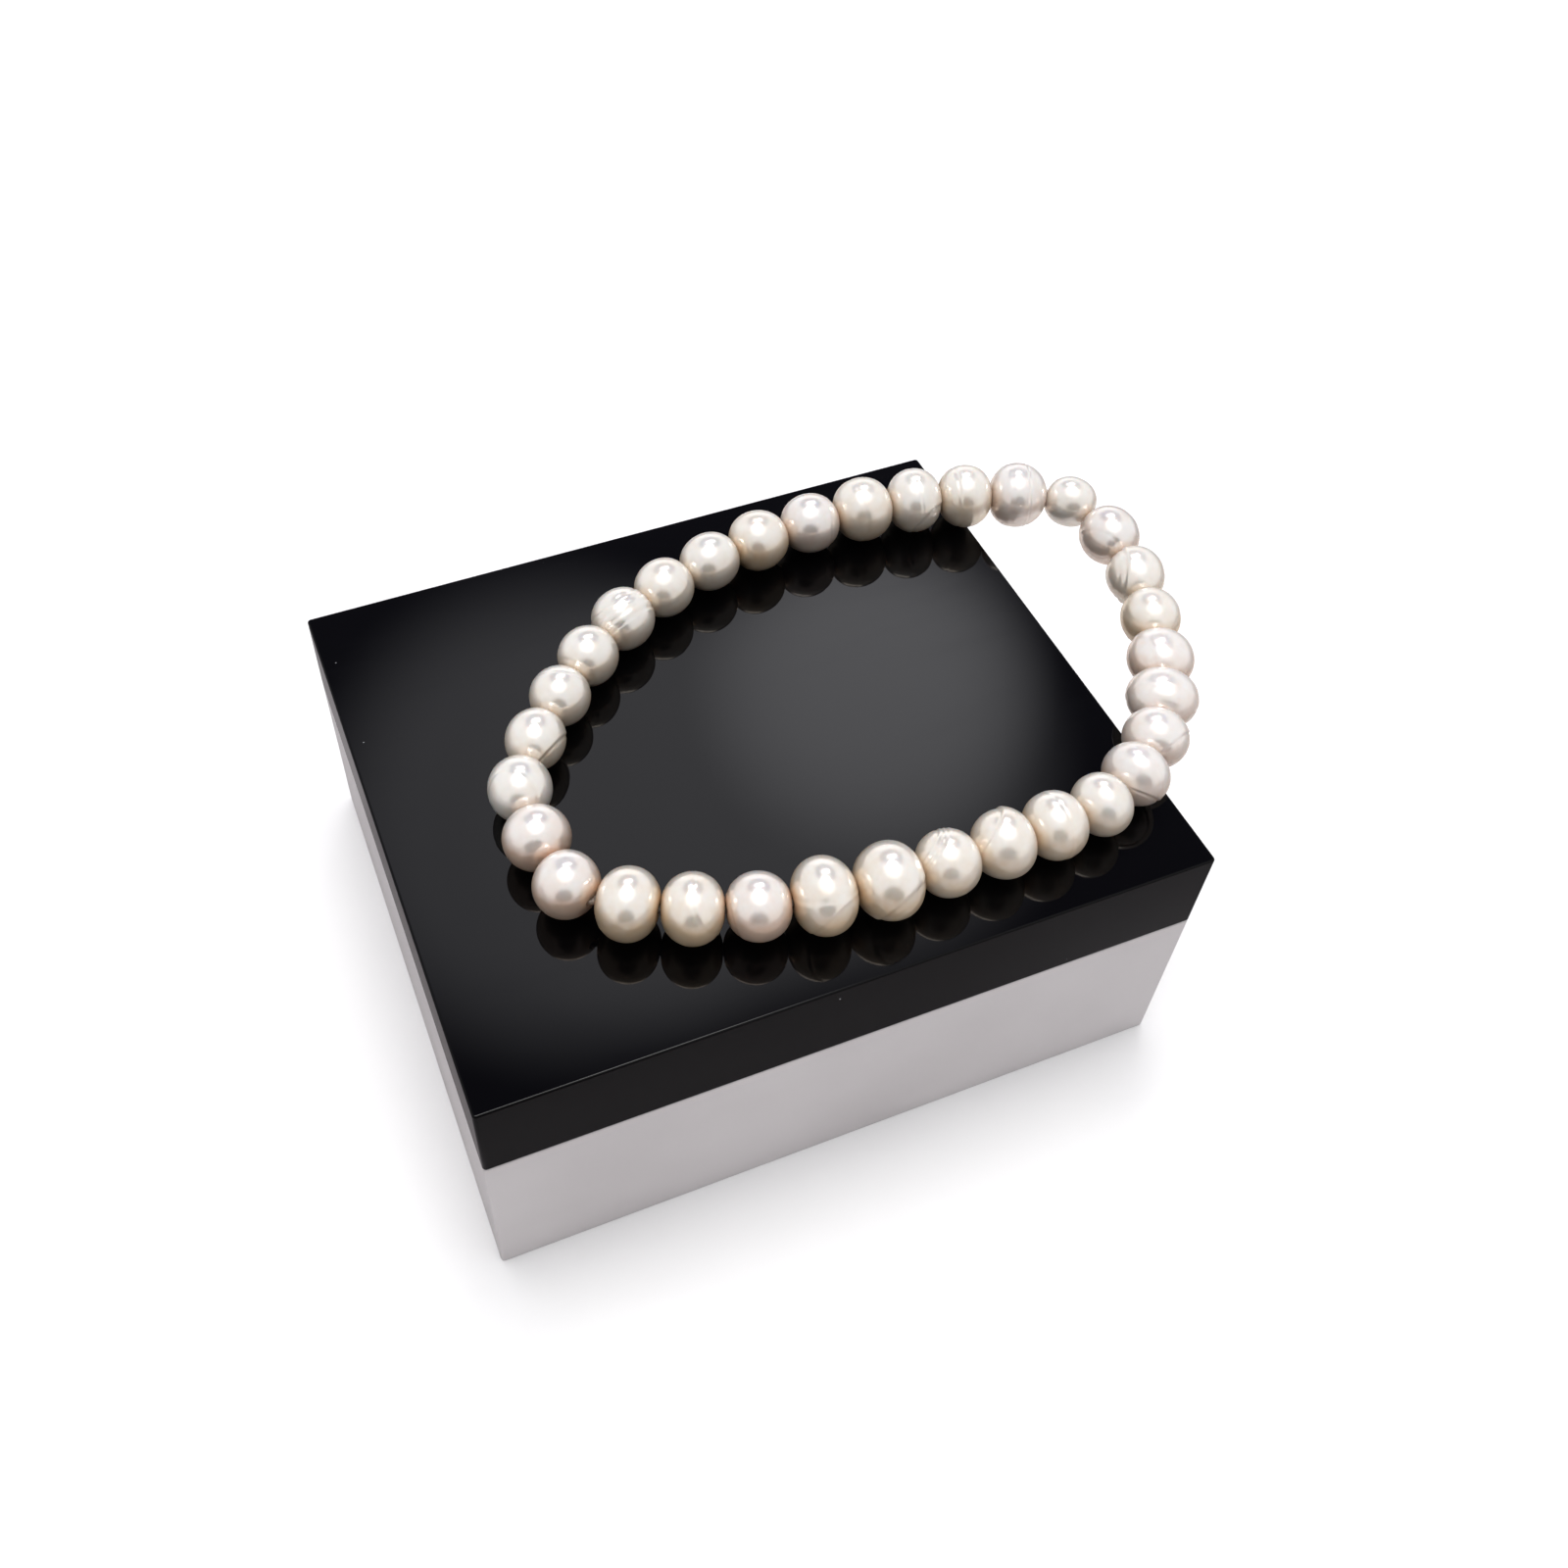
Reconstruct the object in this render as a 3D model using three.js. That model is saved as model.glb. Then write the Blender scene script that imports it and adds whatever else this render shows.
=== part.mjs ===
// A stretch bracelet of freshwater pearls that lies on a two-tone display block.
// Millimetres, +Z up. The origin is the centre of the block's underside, and +X runs along its long side.
import * as THREE from "three";

// Display block
const BLOCK_LENGTH = 76;
const BLOCK_DEPTH = 64.5;
const BASE_HEIGHT = 21.5;
const TOP_HEIGHT = 10.7;
const GLUE_LINE = 0.05; // between the two layers
const EDGE_RADIUS = 0.4; // of the upright edges
const EDGE_STEPS = 3; // round each upright edge

// Elastic cord
const CORD_RADIUS = 0.3;
const CORD_SIDES = 8;

// Pearls
const PEARL_ACROSS = 6.9; // usual width, square to the string
const PEARL_ALONG = 6; // usual length, along the string
const BORE_CLEARANCE = 0.2; // round the cord
const RING_DEPTH = 0.16; // of a growth ring
const RING_REACH = 0.14; // to each side of a growth ring, as a share of half the pearl's length
const RING_MARGIN = 0.03; // kept clear of other outline points past that reach
const PEARL_SIDES = 14;
const PEARL_STEPS = 9; // along a pearl's outline

// How the string lies
const STRING_GAP = 0.12; // between neighbours
const REST_GAP = 0.05; // under the pearls
const TAUT_PASSES = 2; // how many neighbours away a large pearl still lifts a small one
const SEATING_PASSES = 8;

// The colours of the nacre, the cord and the acrylic.
const FINISHES = {
  ivory: { color: 0xe9e2dc, roughness: 0.22, metalness: 0 },
  cream: { color: 0xe8dac9, roughness: 0.22, metalness: 0 },
  blush: { color: 0xe9dad4, roughness: 0.22, metalness: 0 },
  clearElastic: { color: 0xdcdcd8, roughness: 0.35, metalness: 0 },
  blackAcrylic: { color: 0x121214, roughness: 0.05, metalness: 0 },
  paleAcrylic: { color: 0xbab4b6, roughness: 0.4, metalness: 0 },
};

// The outlines that the pearls have. A roundness of 1 is an ellipse, and a lower one has fuller ends.
// Taper makes the far end thinner.
const FORMS = {
  round: { roundness: 1, taper: 0 },
  oval: { roundness: 0.94, taper: 0 },
  barrel: { roundness: 0.86, taper: 0 },
  button: { roundness: 0.8, taper: 0 },
  egg: { roundness: 0.94, taper: 0.06 },
};

// The pearls in order round the string, from the leftmost one and on towards the back.
// across and along are shares of PEARL_ACROSS and PEARL_ALONG.
// ring is where a growth ring lies along the pearl, from -1 to 1.
const PEARLS = [
  { form: "round", across: 0.95, along: 1.06, tint: "ivory" },
  { form: "round", across: 0.92, along: 1.03, tint: "ivory", ring: -0.55 },
  { form: "round", across: 0.94, along: 1.0, tint: "ivory" },
  { form: "round", across: 0.95, along: 1.03, tint: "ivory" },
  { form: "oval", across: 1.0, along: 1.07, tint: "ivory", ring: 0.3 },
  { form: "round", across: 0.96, along: 1.06, tint: "cream" },
  { form: "round", across: 0.95, along: 1.08, tint: "ivory" },
  { form: "egg", across: 0.99, along: 1.06, tint: "cream" },
  { form: "round", across: 0.99, along: 1.07, tint: "blush" },
  { form: "barrel", across: 1.07, along: 1.06, tint: "cream" },
  { form: "barrel", across: 1.07, along: 0.98, tint: "ivory", ring: 0.1 },
  { form: "barrel", across: 1.05, along: 0.97, tint: "cream" },
  { form: "egg", across: 1.07, along: 1.05, tint: "blush", ring: -0.1 },
  { form: "round", across: 0.84, along: 0.93, tint: "ivory" },
  { form: "round", across: 0.95, along: 1.1, tint: "blush" },
  { form: "egg", across: 0.93, along: 1.07, tint: "ivory", ring: 0.5 },
  { form: "oval", across: 0.93, along: 1.04, tint: "cream" },
  { form: "button", across: 1.03, along: 1.03, tint: "blush" },
  { form: "button", across: 1.08, along: 0.98, tint: "blush" },
  { form: "barrel", across: 0.97, along: 0.92, tint: "blush", ring: 0.15 },
  { form: "oval", across: 1.0, along: 0.88, tint: "blush", ring: -0.45 },
  { form: "round", across: 0.95, along: 0.88, tint: "ivory" },
  { form: "barrel", across: 1.01, along: 0.93, tint: "cream" },
  { form: "egg", across: 1.03, along: 0.98, tint: "cream", ring: -0.4 },
  { form: "oval", across: 0.98, along: 0.97, tint: "cream", ring: 0.45 },
  { form: "egg", across: 1.12, along: 1.07, tint: "cream" },
  { form: "oval", across: 1.13, along: 1.01, tint: "cream", ring: -0.5 },
  { form: "round", across: 0.98, along: 1.01, tint: "blush" },
  { form: "round", across: 1.03, along: 0.98, tint: "cream" },
  { form: "oval", across: 1.06, along: 0.98, tint: "cream" },
  { form: "round", across: 0.98, along: 1.0, tint: "blush" },
  { form: "round", across: 1.0, along: 1.0, tint: "blush" },
];

// Points that the string passes, as x and y from the block's centre and how far it has dropped there.
// It drops only where it lies past the block's edge. The first point is the middle of the first pearl.
// The whole loop is drawn out or in until the pearls just fill it.
const ROUTE = [
  [-22.9, -1.7, 0],
  [-15.8, 7.9, 0],
  [-6.2, 15.8, 0],
  [5.8, 20.8, 0],
  [18.8, 22.4, 0],
  [31.6, 21.4, 0],
  [42.9, 18.1, 0.1],
  [48.4, 15.4, 0.4],
  [50, 9.3, 0.8],
  [49.2, 2.3, 1],
  [44.4, -9.9, 0.8],
  [36.7, -19.8, 0],
  [28.9, -23.8, 0],
  [17.6, -24.5, 0],
  [5.5, -24.7, 0],
  [-6.9, -22.8, 0],
  [-18, -18.1, 0],
  [-22.4, -14, 0],
  [-23.2, -8.4, 0],
];
const ROUTE_SAMPLES = 800; // over which the route's length is added up

const BORE_RADIUS = CORD_RADIUS + BORE_CLEARANCE;
const BLOCK_TOP = BASE_HEIGHT + GLUE_LINE + TOP_HEIGHT;

// An item of a list that closes on itself.
function wrapped(list, index) {
  return list[(index + list.length) % list.length];
}

function dressed(geometry, name, finish) {
  const mesh = new THREE.Mesh(geometry, new THREE.MeshStandardMaterial(FINISHES[finish]));
  mesh.name = name;
  return mesh;
}

// One layer of the block: a rectangle with eased upright edges, pushed up to its height.
function blockLayer(name, height, bottom, finish) {
  const halfLength = BLOCK_LENGTH / 2 - EDGE_RADIUS;
  const halfDepth = BLOCK_DEPTH / 2 - EDGE_RADIUS;
  const quarter = Math.PI / 2;
  const outline = new THREE.Shape();
  outline.absarc(halfLength, -halfDepth, EDGE_RADIUS, -quarter, 0);
  outline.absarc(halfLength, halfDepth, EDGE_RADIUS, 0, quarter);
  outline.absarc(-halfLength, halfDepth, EDGE_RADIUS, quarter, 2 * quarter);
  outline.absarc(-halfLength, -halfDepth, EDGE_RADIUS, 2 * quarter, 3 * quarter);
  const options = { depth: height, bevelEnabled: false, curveSegments: EDGE_STEPS };
  const mesh = dressed(new THREE.ExtrudeGeometry(outline, options), name, finish);
  mesh.position.z = bottom;
  return mesh;
}

function displayBlock() {
  const group = new THREE.Group();
  group.add(blockLayer("block_base", BASE_HEIGHT, 0, "paleAcrylic"));
  group.add(blockLayer("block_top", TOP_HEIGHT, BASE_HEIGHT + GLUE_LINE, "blackAcrylic"));
  return group;
}

// Places from -1 to 1 along a pearl at which its outline has a point. A growth ring takes three of its own.
function outlinePlaces(ring) {
  const places = Array.from(
    { length: PEARL_STEPS + 1 },
    (_, step) => -Math.cos((Math.PI * step) / PEARL_STEPS),
  );
  if (ring === undefined) return places;
  const clear = places.filter((place) => Math.abs(place - ring) > RING_REACH + RING_MARGIN);
  return [...clear, ring - RING_REACH, ring, ring + RING_REACH].sort((a, b) => a - b);
}

// How deep a growth ring cuts at a place along the pearl, as a V that is deepest at the ring.
function ringCut(ring, place) {
  if (ring === undefined) return 0;
  return RING_DEPTH * Math.max(0, 1 - Math.abs(place - ring) / RING_REACH);
}

// A pearl's sizes in millimetres and its outline from one mouth of the bore to the other.
function pearlSizes({ form, across, along, ring, tint }) {
  const { roundness, taper } = FORMS[form];
  const radius = (across * PEARL_ACROSS) / 2;
  const half = (along * PEARL_ALONG) / 2;
  const outline = outlinePlaces(ring).map((place) => {
    const swell = (1 - place ** 2) ** (roundness / 2) * (1 - taper * place);
    const out = BORE_RADIUS + (radius - BORE_RADIUS) * swell;
    return new THREE.Vector2(out - ringCut(ring, place), place * half);
  });
  return { radius, half, outline, tint };
}

// A drilled pearl, turned round its bore, which lies along Y.
function pearlGeometry({ outline }) {
  return new THREE.LatheGeometry([...outline, outline[0].clone()], PEARL_SIDES);
}

// How far a pearl reaches from its centre at an angle to its bore, over its far end (1) or its near end (-1).
function reach({ outline }, angle, end) {
  return Math.max(...outline.map(({ x, y }) => end * y * Math.cos(angle) + x * Math.sin(angle)));
}

// Heights of the centres over the surface. A pearl rests there, or is held off it by the taut cord between
// larger ones.
function restHeights(pearls) {
  let heights = pearls.map((pearl) => pearl.radius);
  for (let pass = 0; pass < TAUT_PASSES; pass++) {
    heights = heights.map((height, i) =>
      Math.max(height, (wrapped(heights, i - 1) + wrapped(heights, i + 1)) / 2),
    );
  }
  return heights;
}

// The route drawn out or in round its middle, to the given length.
function fittedRoute(length) {
  const points = ROUTE.map(([x, y, drop]) => new THREE.Vector3(x, y, -drop));
  const middle = points
    .reduce((sum, point) => sum.add(point), new THREE.Vector3())
    .divideScalar(points.length)
    .setZ(0);
  const stretch = length / new THREE.CatmullRomCurve3(points, true).getLength();
  const drawn = points.map((point) => point.clone().sub(middle).multiplyScalar(stretch).add(middle));
  const route = new THREE.CatmullRomCurve3(drawn, true);
  route.arcLengthDivisions = ROUTE_SAMPLES;
  return route;
}

// Centres and bore directions of the pearls, for the steps along the route from each one to the next.
function seatsFor(steps, heights) {
  const length = steps.reduce((sum, step) => sum + step, 0);
  const route = fittedRoute(length);
  let reached = 0;
  const centres = steps.map((step, i) => {
    const centre = route.getPointAt(reached / length);
    centre.z += BLOCK_TOP + REST_GAP + heights[i];
    reached += step;
    return centre;
  });
  return centres.map((centre, i) => ({
    centre,
    direction: wrapped(centres, i + 1).clone().sub(wrapped(centres, i - 1)).normalize(),
  }));
}

// How much too close each pearl lies to the next one, or how much too far off if it is negative.
function shortfalls(pearls, seats) {
  return pearls.map((pearl, i) => {
    const here = seats[i];
    const there = wrapped(seats, i + 1);
    const across = there.centre.clone().sub(here.centre);
    const needed =
      reach(pearl, here.direction.angleTo(across), 1) +
      STRING_GAP +
      reach(wrapped(pearls, i + 1), there.direction.angleTo(across), -1);
    return needed - across.length();
  });
}

// Moves the pearls along the route, pass by pass, until each one lies STRING_GAP from the next.
function seatPearls(pearls) {
  const heights = restHeights(pearls);
  let steps = pearls.map((pearl, i) => pearl.half + STRING_GAP + wrapped(pearls, i + 1).half);
  for (let pass = 0; pass < SEATING_PASSES; pass++) {
    const short = shortfalls(pearls, seatsFor(steps, heights));
    steps = steps.map((step, i) => step + short[i]);
  }
  return seatsFor(steps, heights);
}

// Straight stretches from point to point round a loop, each one an equal part of the curve's parameter.
class PolygonLoop extends THREE.Curve {
  constructor(points) {
    super();
    this.points = points;
  }
  getPoint(t, target = new THREE.Vector3()) {
    const place = t * this.points.length;
    const index = Math.min(Math.floor(place), this.points.length - 1);
    return target.lerpVectors(this.points[index], wrapped(this.points, index + 1), place - index);
  }
  getUtoTmapping(u) {
    return u;
  }
}

// The cord runs straight through each bore and bends between the pearls. It closes inside the first pearl.
function elasticCord(pearls, seats) {
  const mouths = seats.map(({ centre, direction }, i) =>
    [-1, 1].map((end) => centre.clone().addScaledVector(direction, end * pearls[i].half)),
  );
  const [[firstIn, firstOut], ...others] = mouths;
  const loop = new PolygonLoop([seats[0].centre, firstOut, ...others.flat(), firstIn]);
  const tube = new THREE.TubeGeometry(loop, loop.points.length, CORD_RADIUS, CORD_SIDES, true);
  return dressed(tube, "elastic_cord", "clearElastic");
}

function bracelet() {
  const pearls = PEARLS.map(pearlSizes);
  const seats = seatPearls(pearls);
  const group = new THREE.Group();
  pearls.forEach((pearl, i) => {
    const name = `pearl_${String(i + 1).padStart(2, "0")}`;
    const mesh = dressed(pearlGeometry(pearl), name, pearl.tint);
    mesh.position.copy(seats[i].centre);
    mesh.quaternion.setFromUnitVectors(new THREE.Vector3(0, 1, 0), seats[i].direction);
    group.add(mesh);
  });
  group.add(elasticCord(pearls, seats));
  return group;
}

const model = new THREE.Group();
model.add(displayBlock(), bracelet());

export default model;
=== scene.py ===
"""The looks of a freshwater pearl bracelet that lies on a two-tone display block. Metres, +Z up."""

import logging
import math
from dataclasses import dataclass
from enum import Enum
from typing import Any

import bpy
import numpy as np
from numpy.typing import NDArray
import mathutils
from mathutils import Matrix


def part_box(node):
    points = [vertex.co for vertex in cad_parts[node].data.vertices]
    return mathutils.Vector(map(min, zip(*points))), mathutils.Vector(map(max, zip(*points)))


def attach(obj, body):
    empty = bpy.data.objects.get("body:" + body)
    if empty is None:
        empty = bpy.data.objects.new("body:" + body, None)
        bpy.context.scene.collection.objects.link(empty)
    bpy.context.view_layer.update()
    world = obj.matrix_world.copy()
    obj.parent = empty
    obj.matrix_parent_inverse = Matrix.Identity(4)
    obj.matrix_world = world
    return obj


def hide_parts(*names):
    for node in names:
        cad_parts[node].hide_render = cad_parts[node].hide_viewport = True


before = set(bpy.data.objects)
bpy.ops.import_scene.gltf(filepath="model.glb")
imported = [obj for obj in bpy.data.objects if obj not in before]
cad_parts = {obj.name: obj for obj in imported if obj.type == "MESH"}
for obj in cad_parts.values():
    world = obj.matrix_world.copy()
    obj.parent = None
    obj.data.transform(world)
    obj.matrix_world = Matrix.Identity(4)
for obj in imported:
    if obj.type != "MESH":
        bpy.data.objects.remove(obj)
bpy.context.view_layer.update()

LOG = logging.getLogger("pearl_bracelet")
MM = 0.001
BODY = "root"
CORD_MAP = "run"

Grid = NDArray[np.float64]
Corners = NDArray[np.int32]
Colour = tuple[float, float, float]
Vector = tuple[float, float, float]
Span = tuple[float, float]

NOISE_MIDDLE = 0.5  # the mean of a noise
ACRYLIC_IOR = 1.49
FACE_CORNERS = 4  # of the faces that make up every curved surface
MOUTH_BAND = 0.05 * MM  # a solid's corners this close to its end belong to the mouth of its bore
UP = np.array([0.0, 0.0, 1.0])


# Shader maths


class Wire:
    """An output socket that takes part in sums, so that 1 - mask * 2 adds its own Math nodes."""

    def __init__(self, graph: "Graph", socket: bpy.types.NodeSocket | None) -> None:
        """Keeps the socket, if the node has one, and the graph that it belongs to."""
        self.graph = graph
        self.socket = socket

    def math(self, operation: str, *others: "Wire | float") -> "Wire":
        """Adds a Math node.

        Args:
            operation: The Math node's operation.
            others: What follows this wire in the operation.

        Returns:
            The node's result.
        """
        values = dict(enumerate((self, *others)))
        return self.graph.add("ShaderNodeMath", {"operation": operation}, values)

    def __add__(self, other: "Wire | float") -> "Wire":
        """This plus the other."""
        return self.math("ADD", other)

    __radd__ = __add__

    def __mul__(self, other: "Wire | float") -> "Wire":
        """This times the other."""
        return self.math("MULTIPLY", other)

    __rmul__ = __mul__

    def __sub__(self, other: "Wire | float") -> "Wire":
        """This less the other."""
        return self.math("SUBTRACT", other)

    def __rsub__(self, other: float) -> "Wire":
        """The other less this."""
        return self * -1.0 + other

    def window(self, gone: float, full: float) -> "Wire":
        """Rises smoothly from 0 to 1 between two values.

        Args:
            gone: The value at which the result is 0.
            full: The value at which the result is 1.

        Returns:
            The smooth step.
        """
        ends = (0.0, 1.0) if full > gone else (1.0, 0.0)
        limits = (min(gone, full), max(gone, full))
        values = dict(zip(("Value", "From Min", "From Max", "To Min", "To Max"), (self, *limits, *ends)))
        return self.graph.add("ShaderNodeMapRange", {"interpolation_type": "SMOOTHSTEP"}, values)


class Graph:
    """The nodes of one material or of the world."""

    def __init__(self, tree: bpy.types.NodeTree) -> None:
        """Starts from an empty tree."""
        self.tree = tree
        tree.nodes.clear()

    def add(
        self,
        kind: str,
        settings: dict[str, Any] | None = None,
        values: dict[str | int, Any] | None = None,
        output: str | int = 0,
    ) -> Wire:
        """Adds one node.

        Args:
            kind: The node's type.
            settings: Its properties, such as an operation, and a ramp's stops. They are set first.
            values: A wire or a constant for each input, by its place, identifier or name.
            output: The output to return, by its place, identifier or name.

        Returns:
            The chosen output, or an empty wire where the node has none.
        """
        node = self.tree.nodes.new(kind)
        for name, value in (settings or {}).items():
            setattr(node, name, value)
        for name, value in (values or {}).items():
            socket = self._socket(node.inputs, name)
            if isinstance(value, Wire):
                self.tree.links.new(value.socket, socket)
            elif socket.type == "RGBA":
                socket.default_value = (*value, 1.0)
            else:
                socket.default_value = value
        return Wire(self, self._socket(node.outputs, output) if node.outputs else None)

    @staticmethod
    def _socket(sockets: bpy.types.bpy_prop_collection, name: str | int) -> bpy.types.NodeSocket:
        """Finds a socket by its place, identifier or name."""
        if isinstance(name, int):
            return sockets[name]
        return next((s for s in sockets if s.identifier == name), None) or sockets[name]

    def blend(self, factor: Wire | float, first: Wire | Colour, second: Wire | Colour) -> Wire:
        """Mixes two colours.

        Args:
            factor: 0 for the first colour and 1 for the second.
            first: The colour at 0.
            second: The colour at 1.

        Returns:
            The mixed colour.
        """
        values = {"Factor_Float": factor, "A_Color": first, "B_Color": second}
        return self.add("ShaderNodeMix", {"data_type": "RGBA"}, values, "Result_Color")

    def place(self) -> Wire:
        """Returns the point's own place in the object, in metres."""
        return self.add("ShaderNodeTexCoord", output="Object")

    def noise(self, place: Wire, grain: float, detail: float = 2.0) -> Wire:
        """Adds a noise of about 0.3 to 0.7.

        Args:
            place: Where it is read.
            grain: The size of its patches, in the place's own unit.
            detail: How many finer layers it has.

        Returns:
            The noise's strength.
        """
        values = {"Vector": place, "Scale": 1 / grain, "Detail": detail}
        return self.add("ShaderNodeTexNoise", values=values, output="Fac")

    def attribute(self, name: str) -> Wire:
        """Returns a number that the mesh carries at each point."""
        return self.add("ShaderNodeAttribute", {"attribute_name": name}, output="Fac")

    def bump(self, height: Wire) -> Wire:
        """Returns the normal of a surface raised by a height in metres."""
        return self.add("ShaderNodeBump", values={"Height": height, "Distance": 1.0})


def new_material(name: str) -> tuple[bpy.types.Material, Graph]:
    """Makes a material with an empty graph.

    Args:
        name: The material's name.

    Returns:
        The material and its graph.
    """
    material = bpy.data.materials.new(name)
    material.use_nodes = True
    return material, Graph(material.node_tree)


def finish_surface(graph: Graph, values: dict[str | int, Any]) -> None:
    """Adds the surface shader and joins it to the material's output.

    Args:
        graph: The material's graph.
        values: The shader's inputs.
    """
    shader = graph.add("ShaderNodeBsdfPrincipled", values=values)
    graph.add("ShaderNodeOutputMaterial", values={"Surface": shader})


# Finishes


@dataclass(frozen=True)
class Nacre:
    """Pearl: warm glowing body, a strong soft lustre and a thin clear gloss, with fine growth lines.

    The colour goes from pale to deep, and the deep colour also stands for painted shade on each pearl's
    underside. rim tints the light mirrored where the pearl turns away. The glow is light that has travelled
    inside. cloud and mottle are the sizes of two noises, and their shares are how much they move the depth
    of colour. matte is the roughness with no lustre, from which the polish takes away as the lustre grows.
    The gloss is gone where the surface is seen at a slant.
    """

    slot: str
    pale: Colour
    deep: Colour
    rim: Colour = (0.46, 0.385, 0.315)
    ior: float = 1.6
    glow: float = 0.3
    glow_colour: Colour = (1.0, 0.75, 0.6)
    glow_depth: float = 0.8 * MM
    cloud: float = 2.4 * MM
    cloud_share: float = 0.7
    mottle: float = 0.9 * MM
    mottle_share: float = 0.4
    matte: float = 0.38
    polish: float = 0.4
    mottle_matte: float = 0.08
    gloss: float = 1.6
    gloss_span: Span = (0.95, 0.5)
    gloss_roughness: float = 0.1
    gloss_ior: float = 1.7
    line_pitch: float = 0.22 * MM
    line_height: float = 0.0006 * MM
    line_wander: float = 1.2 * MM
    line_bend: float = 9.0
    line_span: Span = (0.45, 0.65)
    skin_height: float = 0.003 * MM

    def material(self) -> bpy.types.Material:
        """Mixes the pale and deep colours by the pearl's own depth and a cloudy noise.

        A pearl with less lustre is also more satin. The pearl's depth is its own tone plus painted shade on
        its underside.

        Returns:
            The material.
        """
        material, graph = new_material(self.slot)
        place = graph.place()
        cloud = graph.noise(place, self.cloud)
        mottle = graph.noise(place, self.mottle)
        facing = graph.add("ShaderNodeLayerWeight", output="Facing")
        lustre = graph.attribute("lustre")
        clouded = (cloud - NOISE_MIDDLE) * self.cloud_share
        mottled = mottle - NOISE_MIDDLE
        # The depth attribute holds the pearl's own tone and painted shade on its underside; the noises add
        # random tone.
        depth = graph.attribute("depth") + clouded + mottled * self.mottle_share
        finish_surface(
            graph,
            {
                "Base Color": graph.blend(depth, self.pale, self.deep),
                "Metallic": lustre,
                "Roughness": self.matte - lustre * self.polish + mottled * self.mottle_matte,
                "IOR": self.ior,
                "Specular Tint": self.rim,
                "Subsurface Weight": self.glow,
                "Subsurface Radius": self.glow_colour,
                "Subsurface Scale": self.glow_depth,
                "Coat Weight": facing.window(*self.gloss_span) * lustre * self.gloss,
                "Coat Roughness": self.gloss_roughness,
                "Coat IOR": self.gloss_ior,
                "Normal": self._skin(graph, place, mottle),
            },
        )
        return material

    def _skin(self, graph: Graph, place: Wire, mottle: Wire) -> Wire:
        """Fine growth lines, as a sine along the growth axis bent by noise, over a soft unevenness.

        Args:
            graph: The material's graph.
            place: The point's place.
            mottle: A fine noise.

        Returns:
            The bumped normal.
        """
        wander = graph.noise(place, self.line_wander)
        turns = graph.attribute("growth") * (2 * math.pi * MM / self.line_pitch)
        lines = (turns + wander * self.line_bend).math("SINE") * wander.window(*self.line_span)
        return graph.bump(lines * self.line_height + mottle * self.skin_height)


@dataclass(frozen=True)
class ClearElastic:
    """Clear stretch cord with a faint grain along its length.

    grain is how many streaks there are round the cord and along the whole loop.
    """

    slot: str = "elastic"
    colour: Colour = (0.66, 0.58, 0.5)
    streak: Colour = (0.78, 0.7, 0.62)
    grain: Vector = (14.0, 300.0, 1.0)
    grain_height: float = 0.01 * MM
    matte: float = 0.22
    grain_matte: float = 0.2
    ior: float = 1.47
    clearness: float = 0.8

    def material(self) -> bpy.types.Material:
        """Streaks run along the cord because the noise is squeezed round it.

        Returns:
            The material.
        """
        material, graph = new_material(self.slot)
        along = graph.add("ShaderNodeUVMap", {"uv_map": CORD_MAP})
        streaks = graph.add("ShaderNodeMapping", values={"Vector": along, "Scale": self.grain})
        grain = graph.noise(streaks, 1.0)
        finish_surface(
            graph,
            {
                "Base Color": graph.blend(grain, self.colour, self.streak),
                "Roughness": self.matte + grain * self.grain_matte,
                "IOR": self.ior,
                "Transmission Weight": self.clearness,
                "Normal": graph.bump(grain * self.grain_height),
            },
        )
        return material


@dataclass(frozen=True)
class GlossAcrylic:
    """Polished black acrylic that mirrors what is above it, with faint wipe marks and a little dust.

    gleam is the strength of its mirror. The wipe marks lie at an angle in radians and are squeezed across.
    dust_size is a speck's radius as a share of the pitch, and a cell has a speck where its random value is
    past dust_chance.
    """

    slot: str = "black_acrylic"
    colour: Colour = (0.0022, 0.0021, 0.0026)
    dust: Colour = (0.5, 0.5, 0.52)
    gleam: float = 0.25
    polished: float = 0.02
    wipe_angle: float = 0.5
    wipe_squeeze: float = 6.0
    wipe_size: float = 22 * MM
    wipe_detail: float = 4.0
    wipe_span: Span = (0.4, 0.75)
    wipe_matte: float = 0.05
    dust_pitch: float = 2.6 * MM
    dust_size: float = 0.045
    dust_core: float = 0.4
    dust_chance: Span = (0.93, 0.99)
    dust_matte: float = 0.4

    def material(self) -> bpy.types.Material:
        """Wipe marks vary the roughness, and dust is a dot in a few cells of a cell pattern.

        Returns:
            The material.
        """
        material, graph = new_material(self.slot)
        place = graph.place()
        turned = {"Rotation": (0.0, 0.0, self.wipe_angle), "Scale": (1.0, self.wipe_squeeze, 1.0)}
        wiped = graph.add("ShaderNodeMapping", values={"Vector": place, **turned})
        marks = graph.noise(wiped, self.wipe_size, self.wipe_detail).window(*self.wipe_span)
        cells = {"Vector": place, "Scale": 1 / self.dust_pitch}
        far = graph.add("ShaderNodeTexVoronoi", values=cells, output="Distance")
        colour = graph.add("ShaderNodeTexVoronoi", values=cells, output="Color")
        chosen = graph.add("ShaderNodeSeparateColor", values={"Color": colour}).window(*self.dust_chance)
        dust = far.window(self.dust_size, self.dust_size * self.dust_core) * chosen
        finish_surface(
            graph,
            {
                "Base Color": graph.blend(dust, self.colour, self.dust),
                "Roughness": self.polished + marks * self.wipe_matte + dust * self.dust_matte,
                "IOR": ACRYLIC_IOR,
                "Specular IOR Level": self.gleam,
            },
        )
        return material


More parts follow.
